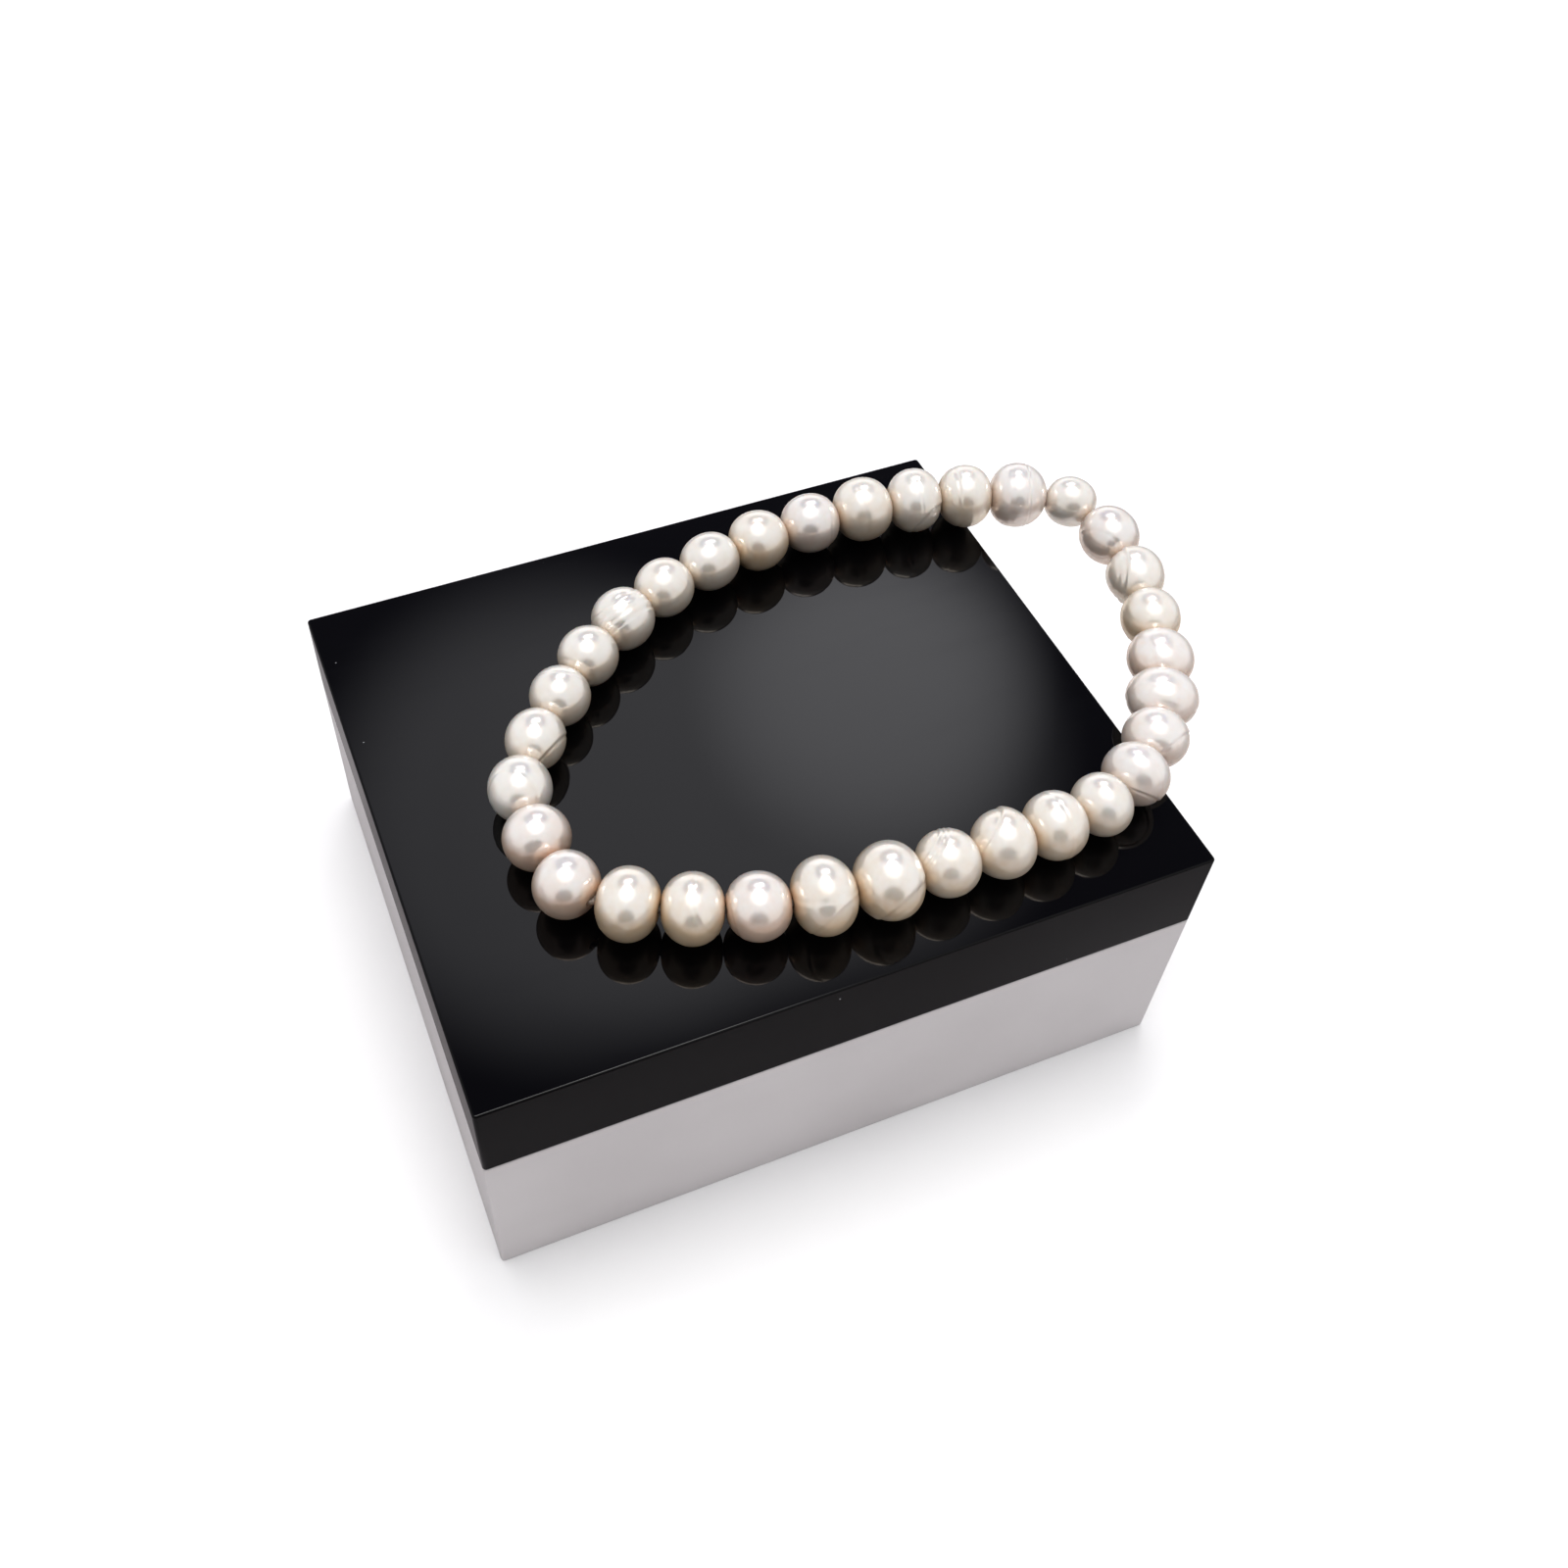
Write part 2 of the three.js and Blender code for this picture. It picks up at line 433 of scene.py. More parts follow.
@dataclass(frozen=True)
class SatinAcrylic:
    """Pale satin acrylic with a very fine grain."""

    slot: str = "pale_acrylic"
    colour: Colour = (0.67, 0.64, 0.645)
    shade: Colour = (0.63, 0.6, 0.605)
    cloud: float = 18 * MM
    cloud_span: Span = (0.3, 0.7)
    grain: float = 0.25 * MM
    grain_height: float = 0.004 * MM
    matte: float = 0.34
    grain_matte: float = 0.12

    def material(self) -> bpy.types.Material:
        """A broad cloud shifts the colour, and a fine noise gives the satin grain.

        Returns:
            The material.
        """
        material, graph = new_material(self.slot)
        place = graph.place()
        cloud = graph.noise(place, self.cloud).window(*self.cloud_span)
        grain = graph.noise(place, self.grain)
        finish_surface(
            graph,
            {
                "Base Color": graph.blend(cloud, self.colour, self.shade),
                "Roughness": self.matte + grain * self.grain_matte,
                "IOR": ACRYLIC_IOR,
                "Normal": graph.bump(grain * self.grain_height),
            },
        )
        return material


class Tint(Enum):
    """The three nacre colours, each a slot of the record."""

    IVORY = Nacre("pearl_ivory", (0.93, 0.9, 0.855), (0.82, 0.675, 0.52))
    CREAM = Nacre("pearl_cream", (0.93, 0.89, 0.835), (0.81, 0.645, 0.46))
    BLUSH = Nacre("pearl_blush", (0.93, 0.892, 0.865), (0.81, 0.63, 0.51))


# Surfaces


def sheet_quads(rows: int, columns: int, closed: bool) -> Corners:
    """Joins a grid of points into four-sided faces. Its columns always close on themselves.

    Args:
        rows: The number of rows.
        columns: The number of points in a row.
        closed: Whether the last row joins the first one.

    Returns:
        The corners of each face.
    """
    row = np.arange(rows if closed else rows - 1)[:, None]
    column = np.arange(columns)[None, :]
    next_row, next_column = (row + 1) % rows, (column + 1) % columns
    corners = [
        row * columns + column,
        row * columns + next_column,
        next_row * columns + next_column,
        next_row * columns + column,
    ]
    whole = [np.broadcast_to(corner, (row.size, columns)) for corner in corners]
    return np.stack(whole, -1).reshape(-1, FACE_CORNERS)


def outward(points: Grid, quads: Corners) -> Corners:
    """Turns the faces so that they point out: the solid's volume, a sum of tetrahedra, is then positive.

    Args:
        points: The vertices.
        quads: The corners of each face.

    Returns:
        The corners in the right order.
    """
    a, b, c, d = (points[quads[:, corner]] for corner in range(FACE_CORNERS))
    volume = np.sum(np.cross(b, c) * a) + np.sum(np.cross(c, d) * a)
    return quads if volume > 0 else quads[:, ::-1]


def add_piece(
    name: str,
    points: Grid,
    quads: Corners,
    caps: list[Corners] | None = None,
    smooth: NDArray[np.bool_] | None = None,
) -> bpy.types.Object:
    """Makes a mesh object at the origin.

    Args:
        name: The piece's name.
        points: Its vertices in metres, in the frame.
        quads: The corners of its four-sided faces.
        caps: The corners of flat faces that close it.
        smooth: Which of the four-sided faces are shaded smooth. All of them are if it is left out.

    Returns:
        The object.
    """
    lids = caps or []
    corners = np.concatenate([quads.ravel(), *lids]).astype(np.int32)
    counts = np.array([FACE_CORNERS] * len(quads) + [len(lid) for lid in lids])
    mesh = bpy.data.meshes.new(name)
    mesh.vertices.add(len(points))
    mesh.vertices.foreach_set("co", points.astype(np.float32).ravel())
    mesh.loops.add(len(corners))
    mesh.loops.foreach_set("vertex_index", corners)
    mesh.polygons.add(len(counts))
    mesh.polygons.foreach_set("loop_start", np.concatenate([[0], np.cumsum(counts)[:-1]]))
    curved = np.ones(len(quads), bool) if smooth is None else smooth
    mesh.polygons.foreach_set("use_smooth", np.concatenate([curved, np.zeros(len(lids), bool)]))
    mesh.update(calc_edges=True)
    mesh.validate()
    piece = bpy.data.objects.new(name, mesh)
    bpy.context.scene.collection.objects.link(piece)
    return piece


def add_numbers(piece: bpy.types.Object, name: str, values: Grid) -> None:
    """Gives each vertex a number that the finish can read.

    Args:
        piece: The piece.
        name: The attribute's name.
        values: One number for each vertex.
    """
    attribute = piece.data.attributes.new(name, "FLOAT", "POINT")
    attribute.data.foreach_set("value", values.astype(np.float32).ravel())


def settle(piece: bpy.types.Object, material: bpy.types.Material, slot: str, node: str) -> None:
    """Dresses a piece, ties it to the body and lets it stand for its solid.

    Args:
        piece: The piece.
        material: Its finish.
        slot: The record's material slot. It is not used.
        node: The solid that it replaces.
    """
    piece.data.materials.append(material)
    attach(piece, BODY)
    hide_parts(node)
    LOG.info("%s: %d faces for %s", piece.name, len(piece.data.polygons), node)


def solid_points(node: str) -> Grid:
    """Reads a solid's own corners, each one once.

    Args:
        node: The solid's name.

    Returns:
        Its corners in metres.
    """
    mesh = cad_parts[node].data
    flat = np.empty(len(mesh.vertices) * 3, np.float32)
    mesh.vertices.foreach_get("co", flat)
    return np.unique(flat.reshape(-1, 3).round(7), axis=0).astype(float)


def unit(vector: Grid) -> Grid:
    """The vector at length 1."""
    return vector / np.linalg.norm(vector, axis=-1, keepdims=True)


def smooth_step(value: Grid, low: float, high: float) -> Grid:
    """Rises from 0 to 1 between two values: 3 t squared less 2 t cubed.

    Args:
        value: Where it is read.
        low: The value at which the result is 0.
        high: The value at which the result is 1.

    Returns:
        The smooth step.
    """
    share = np.clip((value - low) / (high - low), 0, 1)
    return share * share * (3 - 2 * share)


def upward(way: Grid) -> Grid:
    """The way that is square to a given one and closest to straight up."""
    return unit(UP - way[..., 2:] * way)


# Pearls


class Form(Enum):
    """The outlines that the pearls have: how round the ends are, and how much thinner the far end is."""

    ROUND = (1.0, 0.0)
    OVAL = (0.94, 0.0)
    BARREL = (0.86, 0.0)
    BUTTON = (0.8, 0.0)
    EGG = (0.94, 0.06)


@dataclass(frozen=True)
class Ring:
    """A growth ring: a groove with a low lip, where a plane cuts the pearl.

    at is the plane's distance from the middle as a share of the radius. lean is the angle of the ring's axis
    from the bore, and turn the side it leans to: 0 is up and 90 is towards the middle of the loop. depth,
    width and step are in millimetres, and beyond the ring the pearl is smaller by the step.
    """

    at: float
    lean: float = 0.0
    turn: float = 0.0
    depth: float = 0.06
    width: float = 0.16
    step: float = 0.0

    @property
    def axis(self) -> Grid:
        """The ring's axis along the bore, up and towards the middle of the loop."""
        lean, turn = math.radians(self.lean), math.radians(self.turn)
        side = math.sin(lean)
        return np.array([math.cos(lean), side * math.cos(turn), side * math.sin(turn)])


def ring_set(
    first: float, last: float, count: int, lean: float, turn: float, depth: float, width: float = 0.12
) -> tuple[Ring, ...]:
    """Even fine rings side by side.

    Args:
        first: Where the first one is.
        last: Where the last one is.
        count: How many there are.
        lean: Their axis's angle from the bore.
        turn: The side that it leans to.
        depth: Their depth.
        width: Their width.

    Returns:
        The rings.
    """
    return tuple(Ring(float(at), lean, turn, depth, width) for at in np.linspace(first, last, count))


@dataclass(frozen=True)
class Growth:
    """How one pearl has grown: its outline, its colour, how deep that colour is, and its rings.

    squash is how much lower it is than it is wide, as a share. lustre is how much of its light is mirrored.
    depth also sets how strong the painted shade on its underside is.
    """

    form: Form
    tint: Tint
    depth: float = 0.5
    rings: tuple[Ring, ...] = ()
    squash: float = 0.0
    lustre: float = 0.45


# The pearls in order round the string, from the leftmost one and on towards the back. A ring's numbers are
# at, lean, turn, depth, width and step, and a ring set's are first, last, count, lean, turn and depth.
PEARLS = (
    Growth(Form.ROUND, Tint.IVORY, 0.1, (Ring(-0.62, 40, 150, 0.03),)),
    Growth(Form.ROUND, Tint.IVORY, 0.6, (Ring(0.6, 109, 119, 0.08, 0.14, 0.03),)),
    Growth(Form.ROUND, Tint.IVORY, 0.6, (Ring(0.35, 20, -60, 0.035, 0.1),)),
    Growth(Form.ROUND, Tint.IVORY, 0.65, (Ring(-0.75, 10, 0, 0.03),)),
    Growth(Form.OVAL, Tint.IVORY, 0.45, ring_set(-0.25, 0.5, 4, 83, -62, 0.08)),
    Growth(Form.ROUND, Tint.CREAM, 0.45, (Ring(-0.3, 70, 180, 0.02, 0.3, 0.04),), lustre=0.42),
    Growth(Form.ROUND, Tint.IVORY, 0.5),
    Growth(Form.EGG, Tint.CREAM, 0.8, lustre=0.4),
    Growth(Form.ROUND, Tint.BLUSH, 0.5, (Ring(0.7, 20, 90, 0.03),)),
    Growth(Form.BARREL, Tint.CREAM, 0.55, (Ring(-0.2, 5, 0, 0.025, 0.3),), lustre=0.39),
    Growth(
        Form.BARREL, Tint.IVORY, 0.45, (Ring(0.72, 60, 122, 0.07, 0.14, 0.06), Ring(0.02, 4, 0, 0.02, 0.2)),
        lustre=0.39,
    ),
    Growth(Form.BARREL, Tint.CREAM, 0.55, (Ring(-0.35, 6, 0, 0.04, 0.2),), lustre=0.38),
    Growth(
        Form.EGG, Tint.BLUSH, 0.4, (Ring(0.3, 6, 0, 0.06, 0.12), Ring(-0.3, 6, 0, 0.02, 0.25)),
        lustre=0.4,
    ),
    Growth(Form.ROUND, Tint.IVORY, 0.3, lustre=0.42),
    Growth(Form.ROUND, Tint.BLUSH, 0.6, (Ring(0.6, 60, 100, 0.03),)),
    Growth(
        Form.EGG, Tint.IVORY, 0.5, (Ring(0.5, 105, 90, 0.09, 0.2, 0.16), Ring(0.72, 105, 90, 0.04)),
        lustre=0.39,
    ),
    Growth(Form.OVAL, Tint.CREAM, 0.8, (Ring(-0.3, 80, 180, 0.02, 0.3),), lustre=0.38),
    Growth(Form.BUTTON, Tint.BLUSH, 0.75, (Ring(0.52, 70, 95, 0.05, 0.3, 0.08),), squash=0.12, lustre=0.38),
    Growth(Form.BUTTON, Tint.BLUSH, 0.45, (Ring(0.2, 12, 180, 0.03, 0.3, 0.05),), squash=0.15, lustre=0.38),
    Growth(Form.BARREL, Tint.BLUSH, 0.5, (Ring(0.5, 68, -110, 0.07, 0.12, 0.04),), squash=0.06, lustre=0.39),
    Growth(
        Form.OVAL, Tint.BLUSH, 0.5, (Ring(0.6, 43, -162, 0.09, 0.14, 0.05), Ring(0.2, 20, 40, 0.02, 0.2)),
        lustre=0.41,
    ),
    Growth(Form.ROUND, Tint.IVORY, 0.65, (Ring(-0.5, 30, -80, 0.03),), lustre=0.42),
    Growth(Form.BARREL, Tint.CREAM, 0.7, (Ring(0.1, 4, 0, 0.03, 0.24),), lustre=0.41),
    Growth(Form.EGG, Tint.CREAM, 0.6, (Ring(0.56, 51, 65, 0.06, 0.14, 0.2),), lustre=0.42),
    Growth(Form.OVAL, Tint.CREAM, 0.6, ring_set(0.55, 0.78, 3, 51, 65, 0.08), lustre=0.42),
    Growth(
        Form.EGG, Tint.CREAM, 0.8,
        (Ring(0.55, 116, -121, 0.07, 0.2, 0.08), Ring(0.3, 60, -20, 0.03, 0.3, 0.04)),
    ),
    Growth(
        Form.OVAL, Tint.CREAM, 0.9,
        (Ring(0.5, 116, -121, 0.05, 0.14, 0.04), Ring(0.15, 90, 40, 0.04, 0.2)),
    ),
    Growth(Form.ROUND, Tint.BLUSH, 1.1, (Ring(0.75, 15, 180, 0.03),)),
    Growth(Form.ROUND, Tint.CREAM, 1.1, (Ring(-0.6, 40, 170, 0.02),)),
    Growth(Form.OVAL, Tint.CREAM, 1.0, (Ring(0.1, 70, 10, 0.015, 0.3),)),
    Growth(Form.ROUND, Tint.BLUSH, 1.15, (Ring(-0.55, 50, 150, 0.02, 0.3),)),
    Growth(Form.ROUND, Tint.BLUSH, 0.95, (Ring(0.35, 80, 60, 0.025, 0.3), Ring(-0.4, 30, 10, 0.02, 0.3))),
)


@dataclass(frozen=True)
class Seat:
    """Where a pearl sits: its middle, the way of its bore, half its length and its radius, in metres."""

    middle: Grid
    bore: Grid
    half: float
    radius: float

    @property
    def axes(self) -> Grid:
        """The bore, the side that faces up and the side that faces the middle of the loop, as rows."""
        up = upward(self.bore)
        return np.stack([self.bore, up, np.cross(self.bore, up)])

    @classmethod
    def of_solid(cls, points: Grid, way: Grid) -> "Seat":
        """Finds the two mouths of the bore, which are the solid's first and last corners along its way.

        Args:
            points: The solid's corners.
            way: Roughly the way of the bore.

        Returns:
            The seat.
        """
        along = points @ way
        near = points[along < along.min() + MOUTH_BAND].mean(0)
        far = points[along > along.max() - MOUTH_BAND].mean(0)
        bore = unit(far - near)
        out = points - near
        out -= np.outer(out @ bore, bore)
        half = float(np.linalg.norm(far - near)) / 2
        return cls((near + far) / 2, bore, half, float(np.linalg.norm(out, axis=1).max()))


def pearl_seats(nodes: list[str]) -> list[Seat]:
    """Finds each pearl's seat. Its bore runs about from the pearl before it to the one after it.

    Args:
        nodes: The pearls' solids in order.

    Returns:
        The seats in the same order.
    """
    solids = [solid_points(node) for node in nodes]
    middles = np.array([(points.min(0) + points.max(0)) / 2 for points in solids])
    ways = unit(np.roll(middles, -1, 0) - np.roll(middles, 1, 0))
    return [Seat.of_solid(points, way) for points, way in zip(solids, ways, strict=True)]


@dataclass
class PearlString:
    """The pearls of the bracelet, each a turned form with its own swells, rings and drilled bore.

    The clearances are how far the smooth outline stands out past the solid's corners. free_span is the share
    of the pearl's width where relief begins and where it is full, so that the mouths stay whole. swell_rates
    are how fast the waves go, in radians to a radius, and swell_shares how high they are beside each other.
    lip_height is a share of the groove's depth, and lip_place and step_span are in widths of the ring.
    underside_shade_span is how far down the deep colour, which is painted shade on the underside, begins and
    where it is full, from -1 at the top to 1 at the underside, and deep_least is what is added to it
    everywhere.
    """

    nodes: list[str]
    seats: list[Seat]
    around: int = 96
    along: int = 92
    bore_rows: int = 5
    bore_radius: float = 0.5 * MM
    end_clearance: float = 0.06 * MM
    side_clearance: float = 0.04 * MM
    free_span: Span = (0.05, 0.5)
    swell_height: float = 0.05 * MM
    swell_count: int = 6
    swell_rates: Span = (1.5, 4.5)
    swell_shares: Span = (0.3, 1.0)
    ring_radius: float = 3.4 * MM
    lip_height: float = 0.35
    lip_place: float = 1.9
    step_span: Span = (-1.5, 1.5)
    underside_shade_span: Span = (-0.82, -0.05)
    deep_least: float = 0.1

    def build(self) -> None:
        """Makes every pearl and dresses it."""
        finishes = {tint: tint.value.material() for tint in Tint}
        for index, (node, seat, growth) in enumerate(zip(self.nodes, self.seats, PEARLS, strict=True)):
            piece = self._pearl(f"{node}_nacre", seat, growth, index)
            settle(piece, finishes[growth.tint], growth.tint.value.slot, node)

    def _pearl(self, name: str, seat: Seat, growth: Growth, seed: int) -> bpy.types.Object:
        """Turns the outline round the bore, then moves each point in along its own way out.

        Args:
            name: The piece's name.
            seat: Where it sits.
            growth: How it has grown.
            seed: Picks its swells.

        Returns:
            The piece.
        """
        length, out, outer = self._outline(seat, growth.form)
        turn = np.linspace(0, 2 * np.pi, self.around, endpoint=False)
        local = np.stack(
            [
                np.broadcast_to(length[:, None], (length.size, turn.size)),
                out[:, None] * np.cos(turn),
                out[:, None] * np.sin(turn),
            ],
            -1,
        )
        sizes = np.array([seat.half, seat.radius, seat.radius])
        way = unit(local / sizes**2)
        ball = unit(local / sizes)
        relief = self._swells(ball, seed) + self._rings(ball, growth.rings)
        local = local - way * (relief * outer[:, None])[..., None]
        local[..., 1] *= 1 - growth.squash * outer[:, None]
        points = (seat.middle + local @ seat.axes).reshape(-1, 3)
        quads = outward(points, sheet_quads(length.size, turn.size, closed=True))
        piece = add_piece(name, points, quads)
        along_bore = np.array([1.0, 0.0, 0.0])
        axis = growth.rings[0].axis if growth.rings else along_bore
        add_numbers(piece, "growth", (ball @ axis) * seat.radius / MM)
        # Painted shade: the deep colour grows towards each pearl's underside, scaled by the pearl's own
        # depth.
        low = smooth_step(-ball[..., 1], *self.underside_shade_span)
        add_numbers(piece, "depth", (self.deep_least + low) * growth.depth)
        add_numbers(piece, "lustre", np.full(len(points), growth.lustre))
        return piece

    def _outline(self, seat: Seat, form: Form) -> tuple[Grid, Grid, Grid]:
        """One side of the pearl from mouth to mouth, and back through the bore.

        At a place t from -1 to 1 along the bore, the radius is the bore's plus the rest of the pearl's times
        (1 - t squared) to the power of half the roundness, and it thins towards the far end with the taper.

        Args:
            seat: The pearl's sizes.
            form: Its outline.

        Returns:
            The places along the bore, the radii there, and 1 where the outside is free to swell.
        """
        roundness, taper = form.value
        share = np.linspace(0, 1, self.along)
        place = -np.cos(np.pi * share)
        swell = np.sin(np.pi * share).clip(0) ** roundness * (1 - taper * place)
        radius = seat.radius + self.side_clearance
        half = seat.half + self.end_clearance
        inside = -np.linspace(-1, 1, self.bore_rows + 2)[1:-1]
        level = np.zeros(self.bore_rows)
        length = np.concatenate([place, inside]) * half
        out = self.bore_radius + (radius - self.bore_radius) * np.concatenate([swell, level])
        free = np.concatenate([smooth_step(np.sin(np.pi * share), *self.free_span), level])
        return length, out, free

    def _swells(self, ball: Grid, seed: int) -> Grid:
        """Low swells: a sum of cosine waves along random ways, moved so that it never goes below 0.

        Args:
            ball: Where each point is on a ball of radius 1.
            seed: Picks the waves.

        Returns:
            How far each point lies under the outline, in metres.
        """
        rng = np.random.default_rng(seed)
        ways = unit(rng.normal(size=(self.swell_count, 3)))
        ways = ways * rng.uniform(*self.swell_rates, (self.swell_count, 1))
        phases = rng.uniform(0, 2 * np.pi, self.swell_count)
        waves = np.cos(ball @ ways.T + phases) @ rng.uniform(*self.swell_shares, self.swell_count)
        return (waves - waves.min()) / self.swell_count * self.swell_height

    def _rings(self, ball: Grid, rings: tuple[Ring, ...]) -> Grid:
        """Each ring is a bell-shaped groove on its plane, less a lower bell beside it, plus its step.

        Args:
            ball: Where each point is on a ball of radius 1.
            rings: The pearl's rings.

        Returns:
            How far each point lies under the outline, in metres.
        """
        total = np.zeros(ball.shape[:-1])
        for ring in rings:
            far = (ball @ ring.axis - ring.at) * self.ring_radius / (ring.width * MM)
            groove = np.exp(-(far**2)) - self.lip_height * np.exp(-((far + self.lip_place) ** 2))
            total += ring.depth * MM * groove + ring.step * MM * smooth_step(far, *self.step_span)
        return total


@dataclass
class ElasticCord:
    """The clear cord, which runs straight through each bore and closes on itself."""

    seats: list[Seat]
    node: str = "elastic_cord"
    radius: float = 0.3 * MM
    sides: int = 16
    steps: int = 6

    def build(self) -> None:
        """Carries a circle along the smooth loop and dresses it."""
        path = self._path()
        ahead = unit(np.roll(path, -1, 0) - np.roll(path, 1, 0))
        up = upward(ahead)
        side = np.cross(ahead, up)
        turn = np.linspace(0, 2 * np.pi, self.sides, endpoint=False)[:, None]
        rings = np.cos(turn) * up[:, None] + np.sin(turn) * side[:, None]
        points = (path[:, None] + self.radius * rings).reshape(-1, 3)
        quads = outward(points, sheet_quads(len(path), self.sides, closed=True))
        piece = add_piece("elastic_cord_loop", points, quads)
        self._lay_uv(piece, len(path))
        finish = ClearElastic()
        settle(piece, finish.material(), finish.slot, self.node)

    def _path(self) -> Grid:
        """A smooth loop through each pearl's two mouths and its middle.

        Between two points the curve is a cubic whose slopes at its ends are half the way from the point
        before to the point after.

        Returns:
            The points of the loop.
        """
        stops = [seat.middle + np.outer([-seat.half, 0, seat.half], seat.bore) for seat in self.seats]
        knots = np.concatenate(stops)
        before, after, later = np.roll(knots, 1, 0), np.roll(knots, -1, 0), np.roll(knots, -2, 0)
        t = (np.arange(self.steps) / self.steps)[None, :, None]
        here, there = knots[:, None], after[:, None]
        slope, slope_after = (there - before[:, None]) / 2, (later[:, None] - here) / 2
        curve = (
            (2 * t**3 - 3 * t**2 + 1) * here
            + (t**3 - 2 * t**2 + t) * slope
            + (3 * t**2 - 2 * t**3) * there
            + (t**3 - t**2) * slope_after
        )
        return curve.reshape(-1, 3)

    def _lay_uv(self, piece: bpy.types.Object, rows: int) -> None:
        """Lays the map so that u runs round the cord and v once along the loop.

        Args:
            piece: The cord.
            rows: How many circles it has.
        """
        corner = np.empty(len(piece.data.loops), np.int32)
        piece.data.loops.foreach_get("vertex_index", corner)
        row, column = np.divmod(corner, self.sides)
        face = np.arange(len(corner)) // FACE_CORNERS
        wraps_round = (column == 0) & (face % self.sides == self.sides - 1)
        wraps_along = (row == 0) & (face // self.sides == rows - 1)
        across = (column + wraps_round * self.sides) / self.sides
        along = (row + wraps_along * rows) / rows
        layer = piece.data.uv_layers.new(name=CORD_MAP)
        layer.data.foreach_set("uv", np.stack([across, along], -1).astype(np.float32).ravel())


@dataclass
class Slab:
    """One layer of the display block: a rectangle with rounded corners and eased edges."""

    node: str
    finish: GlossAcrylic | SatinAcrylic
    corner: float = 0.4 * MM
    ease: float = 0.22 * MM
    steps: int = 6

    def build(self) -> None:
        """Carries the rounded rectangle up a profile with a quarter round at each end, and closes it."""
        low, high = (np.array(c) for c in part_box(self.node))
        inset, height = self._profile(low[2], high[2])
        spots, ways = self._corners(low, high)
        rings = spots[None] + (self.corner - inset)[:, None, None] * ways[None]
        levels = np.broadcast_to(height[:, None, None], (*rings.shape[:2], 1))
        points = np.concatenate([rings, levels], -1).reshape(-1, 3)
        columns, rows = len(spots), len(height)
        quads = sheet_quads(rows, columns, closed=False)
        bottom, top = np.arange(columns)[::-1], (rows - 1) * columns + np.arange(columns)
        round_row = np.arange(rows - 1) != self.steps
        round_column = (np.arange(columns) + 1) % (self.steps + 1) != 0
        curved = (round_row[:, None] | round_column[None, :]).ravel()
        piece = add_piece(f"{self.node}_slab", points, quads, [bottom, top], curved)
        settle(piece, self.finish.material(), self.finish.slot, self.node)

    def _profile(self, bottom: float, top: float) -> tuple[Grid, Grid]:
        """How far in the side lies at each height: a quarter round, the straight side, a quarter round.

        Args:
            bottom: The layer's lowest height.
            top: Its highest height.

        Returns:
            The insets and the heights.
        """
        angle = np.linspace(0, np.pi / 2, self.steps + 1)
        inset = self.ease * (1 - np.sin(angle))
        rise = self.ease * (1 - np.cos(angle))
        return np.concatenate([inset, inset[::-1]]), np.concatenate([bottom + rise, top - rise[::-1]])

    def _corners(self, low: Grid, high: Grid) -> tuple[Grid, Grid]:
        """The centres of the four corner arcs and the ways out from them, once round the layer.

        Args:
            low: The layer's lowest corner.
            high: Its highest corner.

        Returns:
            The arc's centre and the way out for each point of the outline.
        """
        quarter = np.linspace(0, np.pi / 2, self.steps + 1)
        turn = (np.arange(4)[:, None] * np.pi / 2 + quarter).ravel()
        signs = np.repeat([[1, 1], [-1, 1], [-1, -1], [1, -1]], self.steps + 1, 0)
        middle, half = (low + high)[:2] / 2, (high - low)[:2] / 2 - self.corner
        return middle + signs * half, np.stack([np.cos(turn), np.sin(turn)], -1)


# Studio


@dataclass(frozen=True)
class Patch:
    """A round patch of the light tent: full inside its core and gone at its rim.

    azimuth is from +Y towards +X and elevation from the floor. All four angles are in degrees.
    """

    azimuth: float
    elevation: float
    core: float
    rim: float
    light: Colour

    @property
    def way(self) -> Vector:
        """The way from the bracelet to the patch."""
        azimuth, elevation = math.radians(self.azimuth), math.radians(self.elevation)
        flat = math.cos(elevation)
        return (flat * math.sin(azimuth), flat * math.cos(azimuth), math.sin(elevation))

    def cover(self, graph: Graph, way: Wire) -> Wire:
        """Compares the way looked at with the patch's own, by the cosine of the angle between them.

        Args:
            graph: The world's graph.
            way: The way looked at.

        Returns:
            1 inside its core and 0 past its rim.
        """
        values = {0: way, 1: self.way}
        nearness = graph.add("ShaderNodeVectorMath", {"operation": "DOT_PRODUCT"}, values, "Value")
        return nearness.window(math.cos(math.radians(self.rim)), math.cos(math.radians(self.core)))


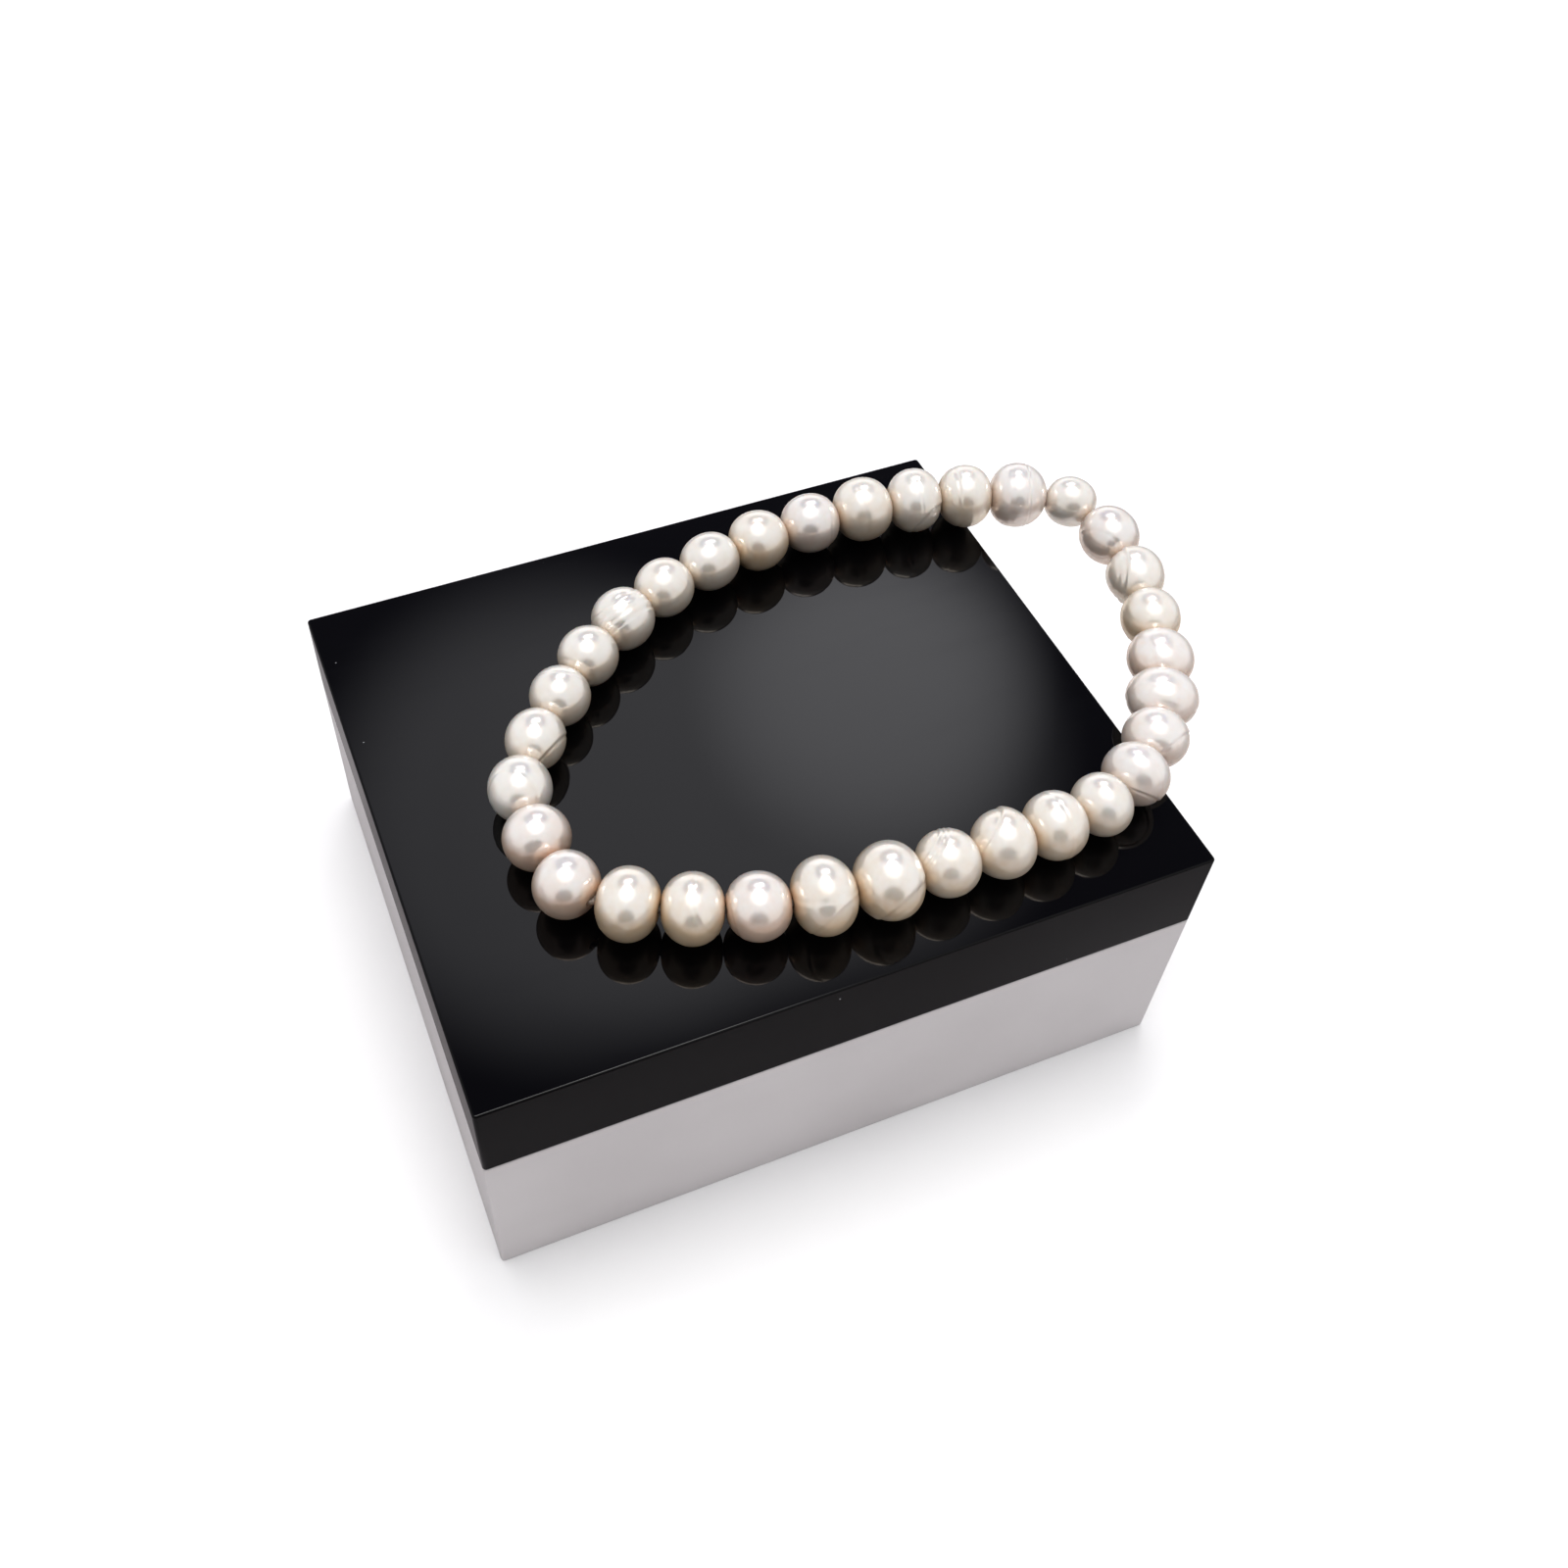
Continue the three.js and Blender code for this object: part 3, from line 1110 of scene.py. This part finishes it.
@dataclass(frozen=True)
class LightTent:
    """The soft light all round: a pale tent with a lamp above and a dim opening towards the viewer.

    Each patch covers what was there before it. In order they are the bright roof, the low far wall, the dim
    opening, a dim part of the far wall that the gloss mirrors with four soft glows on it, and the lamp with
    its darker middle.
    """

    wall: Colour = (0.66, 0.66, 0.67)
    backdrop: Colour = (0.96, 0.96, 0.96)
    patches: tuple[Patch, ...] = (
        Patch(-159, 88, 18, 32, (1.3, 1.3, 1.32)),
        Patch(20, 0, 16, 32, (0.95, 0.95, 0.98)),
        Patch(-158, 10, 21, 34, (0.02, 0.013, 0.008)),
        Patch(22, 54, 24, 34, (0.17, 0.17, 0.23)),
        Patch(15, 53, 5, 10, (1.7, 1.7, 1.8)),
        Patch(22, 53, 4, 9, (1.95, 1.95, 2.05)),
        Patch(31, 51, 3, 9, (2.0, 2.0, 2.1)),
        Patch(32, 48, 0, 7, (3.6, 3.6, 3.75)),
        Patch(18, 80, 8, 15, (9.0, 8.9, 8.8)),
        Patch(20, 79, 1.2, 4, (1.8, 1.8, 1.8)),
    )

    def build(self) -> None:
        """Paints each patch over the tent's wall, as the world's own light."""
        scene = bpy.context.scene
        scene.world = bpy.data.worlds.new("light_tent")
        scene.world.use_nodes = True
        graph = Graph(scene.world.node_tree)
        way = graph.add("ShaderNodeTexCoord", output="Generated")
        light: Wire | Colour = self.wall
        for patch in self.patches:
            light = graph.blend(patch.cover(graph, way), light, patch.light)
        seen = graph.add("ShaderNodeLightPath", output="Is Camera Ray")
        colour = graph.blend(seen, light, self.backdrop)
        graph.add(
            "ShaderNodeOutputWorld",
            values={"Surface": graph.add("ShaderNodeBackground", values={"Color": colour})},
        )
        LOG.info("light tent: %d patches", len(self.patches))


@dataclass(frozen=True)
class Floor:
    """The plain pale floor: white paper round the block, which the gloss alone sees fade to a dim colour: a
    painted dark reflection.
    """

    half: float = 1.5
    paper: Colour = (0.93, 0.93, 0.93)
    mirrored_shade: Colour = (0.27, 0.255, 0.26)
    paper_middle: Vector = (50 * MM, 40 * MM, 0.0)
    paper_reach: float = 45 * MM
    mirrored_shade_from: float = 92 * MM
    matte: float = 0.8
    ior: float = 1.3

    def build(self) -> None:
        """Lays a square at height 0, outside the object."""
        corners = np.array([[-1, -1, 0], [1, -1, 0], [1, 1, 0], [-1, 1, 0]], float) * self.half
        piece = add_piece("floor", corners, np.array([[0, 1, 2, 3]], np.int32))
        material, graph = new_material("floor_paper")
        spots = {0: graph.place(), 1: self.paper_middle}
        reach = graph.add("ShaderNodeVectorMath", {"operation": "DISTANCE"}, spots, "Value")
        far = reach.window(self.paper_reach, self.mirrored_shade_from)
        gloss = graph.add("ShaderNodeLightPath", output="Is Glossy Ray")
        # Painted reflection: away from the block, glossy rays see the paper painted a dim colour.
        colour = graph.blend(far * gloss, self.paper, self.mirrored_shade)
        finish_surface(graph, {"Base Color": colour, "Roughness": self.matte, "IOR": self.ior})
        piece.data.materials.append(material)


@dataclass(frozen=True)
class PhotoCamera:
    """The camera, which looks from the front left and above. Angles are in degrees.

    sensor and lens are in millimetres, and shift is a share of the frame. sight is how near and how far the
    camera sees, in metres.
    """

    spot: Vector = (-44.73 * MM, -96.78 * MM, 159.65 * MM)
    heading: float = 21.2
    dip: float = 49.55
    sensor: float = 36.0
    lens: float = 36.34
    shift: Span = (0.0735, -0.0433)
    sight: Span = (0.005, 10.0)

    def build(self) -> None:
        """Turns the camera from straight down up to its dip, and then to its heading."""
        data = bpy.data.cameras.new("photo_camera")
        data.sensor_width = self.sensor
        data.lens = self.lens
        data.shift_x, data.shift_y = self.shift
        data.clip_start, data.clip_end = self.sight
        camera = bpy.data.objects.new("photo_camera", data)
        camera.location = self.spot
        camera.rotation_euler = (math.radians(90 - self.dip), 0.0, -math.radians(self.heading))
        bpy.context.scene.collection.objects.link(camera)
        bpy.context.scene.camera = camera
        view = bpy.context.scene.view_settings
        view.view_transform, view.look = "Standard", "Medium High Contrast"


def main() -> None:
    """Builds the studio, the block and the bracelet."""
    logging.basicConfig(level=logging.INFO, format="%(message)s")
    PhotoCamera().build()
    LightTent().build()
    Floor().build()
    Slab("block_base", SatinAcrylic()).build()
    Slab("block_top", GlossAcrylic()).build()
    nodes = [f"pearl_{number:02d}" for number in range(1, len(PEARLS) + 1)]
    seats = pearl_seats(nodes)
    PearlString(nodes, seats).build()
    ElasticCord(seats).build()


if __name__ == "__main__":
    main()
